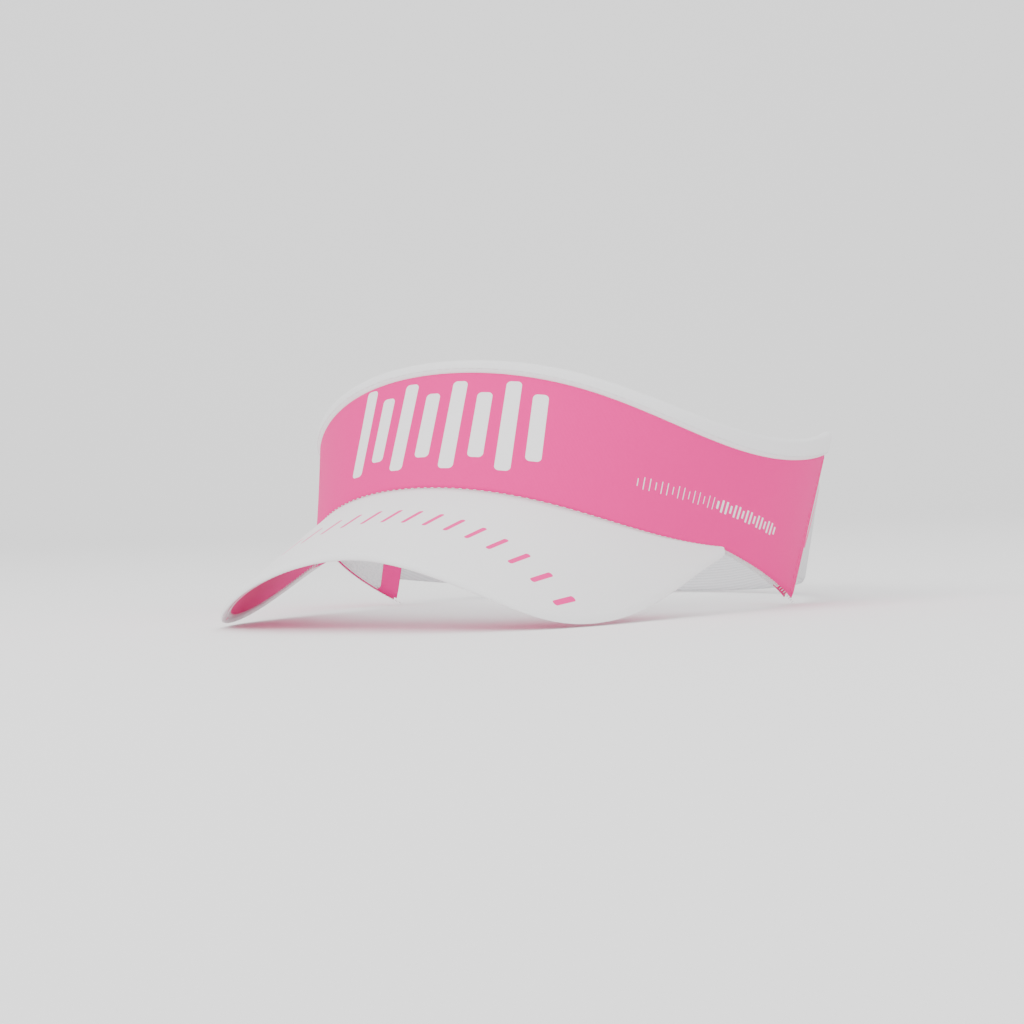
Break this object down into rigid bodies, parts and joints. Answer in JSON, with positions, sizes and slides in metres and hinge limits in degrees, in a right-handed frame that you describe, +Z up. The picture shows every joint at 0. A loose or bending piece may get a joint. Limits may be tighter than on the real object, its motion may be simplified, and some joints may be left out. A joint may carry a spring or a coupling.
{
  "type": "sun visor",
  "caption": "Fabric sun visor with a curved stiffened brim, a shaped front band, an open crown and a wide elastic strap that stretches to fit the head.",
  "frame": {"origin": "centre of the bounding box on the ground", "axes": "+Z up, -Y toward the front of the brim, +X toward the wearer's left; the visor lies on the brim's two lobes and the rear of the strap"},
  "size_m": [0.1938, 0.2436, 0.0906],
  "materials": {
    "pink_cloth": "satin",
    "white_knit": "matte",
    "terry": "matte",
    "interlining": "matte",
    "brim_white": "satin",
    "brim_pink": "satin",
    "brim_board": "matte",
    "elastic": "matte",
    "label": "satin"
  },
  "bodies": {
    "band": {"panel_shell": "pink_cloth", "panel_interlining": "interlining", "panel_lining": "white_knit", "sweatband": "terry", "top_binding": "white_knit", "brim_seam_allowance": "white_knit", "brim_core": "brim_board", "brim_top_cover": "brim_white", "brim_under_cover": "brim_pink", "brim_rim": "brim_white", "care_label": "label", "strap_end_left": "elastic", "strap_end_right": "elastic", "end_facing_left": "pink_cloth", "end_facing_right": "pink_cloth", "strap_side_left": "elastic", "strap_side_right": "elastic"},
    "strap_back": {"strap_rear": "elastic"}
  },
  "joints": [
    {"name": "strap_stretch", "type": "slide", "parent": "band", "child": "strap_back", "axis": [0, 1, 0], "range_m": [0, 0.02], "stiffness_N_per_m": 250, "deforming": ["strap_side_left", "strap_side_right"]}
  ]
}
